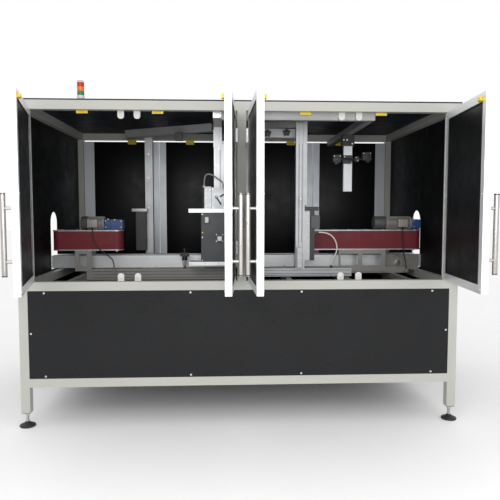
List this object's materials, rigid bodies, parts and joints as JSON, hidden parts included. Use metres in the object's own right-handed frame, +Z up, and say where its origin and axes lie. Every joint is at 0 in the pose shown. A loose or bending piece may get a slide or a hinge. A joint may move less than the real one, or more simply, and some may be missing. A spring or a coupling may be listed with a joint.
{
  "type": "container handling machine cell",
  "caption": "Enclosed two-bay automation cell on levelling feet, with open hinged doors, a through conveyor, side-grip belts, a sliding head and a signal tower.",
  "frame": {"origin": "centre of the overall box at floor level, with the front doors open", "axes": "+Z up, -Y is the front with the open doors, +X to the right seen from the front, along the conveyor"},
  "size_m": [3.04, 2.4192, 2.327],
  "materials": {
    "black_panel": "satin black sheet",
    "black_plastic": "moulded",
    "black_rubber": "matt",
    "blue_paint": "enamel",
    "bright_plate": "milled",
    "cable_black": "satin sheath",
    "cable_grey": "corrugated sheath",
    "chain_plastic": "worn",
    "door_aluminium": "satin anodised",
    "door_black": "glossy black laminate",
    "frame_paint": "fine textured satin powder coat",
    "grey_plastic": "satin",
    "handle_steel": "brushed, with black end caps",
    "head_dark": "textured",
    "hose_light": "smooth",
    "lens": "ribbed translucent lens, red over orange over green",
    "light_plate": "milled",
    "motor_grey": "ribbed casting, enamel",
    "overhead_grey": "satin",
    "rail_aluminium": "anodised extrusion",
    "red_belt": "coarse cellular rubber",
    "roller_steel": "turned",
    "roof_paint": "satin",
    "smoked_panel": "polished smoked sheet",
    "steel": "brushed",
    "white_plastic": "satin",
    "white_plate": "milled",
    "yellow_plastic": "satin"
  },
  "bodies": {
    "cell": {"base_panel_front": "smoked_panel", "base_panel_screws": "steel", "base_panels_sides": "black_panel", "black_fittings": "black_plastic", "conveyor_chain": "chain_plastic", "conveyor_rails": "rail_aluminium", "conveyor_supports": "rail_aluminium", "door_stops": "white_plastic", "door_switches": "yellow_plastic", "foot_pads": "black_rubber", "foot_stems": "steel", "frame_beams": "frame_paint", "frame_posts": "frame_paint", "head_column": "rail_aluminium", "left_gearbox": "blue_paint", "left_grip_belt": "red_belt", "left_grip_plates": "bright_plate", "left_motor": "motor_grey", "left_motor_cable": "cable_black", "overhead_beams": "overhead_grey", "profile_columns": "rail_aluminium", "right_gearbox": "blue_paint", "right_grip_belt": "red_belt", "right_grip_plates": "bright_plate", "right_motor": "motor_grey", "right_motor_cable": "cable_black", "roof_sheet": "roof_paint", "side_panels": "black_panel", "signal_tower_body": "grey_plastic", "signal_tower_lenses": "lens", "slide_hose": "hose_light"},
    "door_left_outer": {"door_left_outer_frame": "door_aluminium", "door_left_outer_panel": "door_black", "door_left_outer_handle": "handle_steel"},
    "rear_left_outer": {"rear_door_left_outer": "door_aluminium"},
    "door_left_inner": {"door_left_inner_frame": "door_aluminium", "door_left_inner_panel": "door_black", "door_left_inner_handle": "handle_steel"},
    "rear_left_inner": {"rear_door_left_inner": "door_aluminium"},
    "door_right_inner": {"door_right_inner_frame": "door_aluminium", "door_right_inner_panel": "door_black", "door_right_inner_handle": "handle_steel"},
    "rear_right_inner": {"rear_door_right_inner": "door_aluminium"},
    "door_right_outer": {"door_right_outer_frame": "door_aluminium", "door_right_outer_panel": "door_black", "door_right_outer_handle": "handle_steel"},
    "rear_right_outer": {"rear_door_right_outer": "door_aluminium"},
    "left_roller": {"left_grip_roller": "roller_steel"},
    "right_roller": {"right_grip_roller": "roller_steel"},
    "line_drive": {"conveyor_drive": "steel"},
    "head": {"head_plates": "white_plate", "head_bracket": "bright_plate", "head_box": "head_dark", "head_cable": "cable_grey"},
    "lever": {"clamp_lever": "black_plastic"},
    "carriage": {"slide_carriage": "light_plate"},
    "sensor_arm": {"sensor_column": "rail_aluminium", "sensor_clamps": "black_plastic"},
    "knob_left": {"star_knob_left": "black_plastic"},
    "knob_right": {"star_knob_right": "black_plastic"}
  },
  "joints": [
    {"name": "left_outer_swing", "type": "hinge", "parent": "cell", "child": "door_left_outer", "pos_m": [-1.44, -0.5085, 1.5], "axis": [0, 0, 1], "range_deg": [-33.1, 76.9]},
    {"name": "left_inner_swing", "type": "hinge", "parent": "cell", "child": "door_left_inner", "pos_m": [-0.03, -0.5085, 1.5], "axis": [0, 0, 1], "range_deg": [-87, 0]},
    {"name": "right_inner_swing", "type": "hinge", "parent": "cell", "child": "door_right_inner", "pos_m": [0.03, -0.5085, 1.5], "axis": [0, 0, 1], "range_deg": [0, 88.4]},
    {"name": "right_outer_swing", "type": "hinge", "parent": "cell", "child": "door_right_outer", "pos_m": [1.44, -0.5085, 1.5], "axis": [0, 0, 1], "range_deg": [-85.1, 24.9]},
    {"name": "rear_left_outer_swing", "type": "hinge", "parent": "cell", "child": "rear_left_outer", "pos_m": [-1.44, 1.1575, 1.5], "axis": [0, 0, 1], "range_deg": [0, 110]},
    {"name": "rear_left_inner_swing", "type": "hinge", "parent": "cell", "child": "rear_left_inner", "pos_m": [-0.03, 1.1575, 1.5], "axis": [0, 0, 1], "range_deg": [-87.5, 0]},
    {"name": "rear_right_inner_swing", "type": "hinge", "parent": "cell", "child": "rear_right_inner", "pos_m": [0.03, 1.1575, 1.5], "axis": [0, 0, 1], "range_deg": [0, 87.5]},
    {"name": "rear_right_outer_swing", "type": "hinge", "parent": "cell", "child": "rear_right_outer", "pos_m": [1.44, 1.1575, 1.5], "axis": [0, 0, 1], "range_deg": [-110, 0]},
    {"name": "left_roller_spin", "type": "hinge", "parent": "cell", "child": "left_roller", "pos_m": [-0.965, 0.1545, 1.244], "axis": [0, 0, 1], "continuous": true},
    {"name": "right_roller_spin", "type": "hinge", "parent": "cell", "child": "right_roller", "pos_m": [1.399, 0.1545, 1.244], "axis": [0, 0, 1], "continuous": true},
    {"name": "line_drive_spin", "type": "hinge", "parent": "cell", "child": "line_drive", "pos_m": [1.286, 0.2995, 1.056], "axis": [0, 1, 0], "continuous": true},
    {"name": "head_height", "type": "slide", "parent": "cell", "child": "head", "axis": [0, 0, 1], "range_m": [-0.07, 0.12]},
    {"name": "clamp_lever_turn", "type": "hinge", "parent": "head", "child": "lever", "pos_m": [-0.178, -0.0905, 1.577], "axis": [0, 1, 0], "range_deg": [-70, 70]},
    {"name": "carriage_height", "type": "slide", "parent": "cell", "child": "carriage", "axis": [0, 0, 1], "range_m": [-0.015, 0.025]},
    {"name": "sensor_arm_height", "type": "slide", "parent": "cell", "child": "sensor_arm", "axis": [0, 0, 1], "range_m": [-0.05, 0.012]},
    {"name": "knob_left_turn", "type": "hinge", "parent": "cell", "child": "knob_left", "pos_m": [0.2, -0.1555, 2.038], "axis": [0, 1, 0], "continuous": true},
    {"name": "knob_right_turn", "type": "hinge", "parent": "cell", "child": "knob_right", "pos_m": [0.34, -0.1555, 2.046], "axis": [0, 1, 0], "continuous": true}
  ]
}
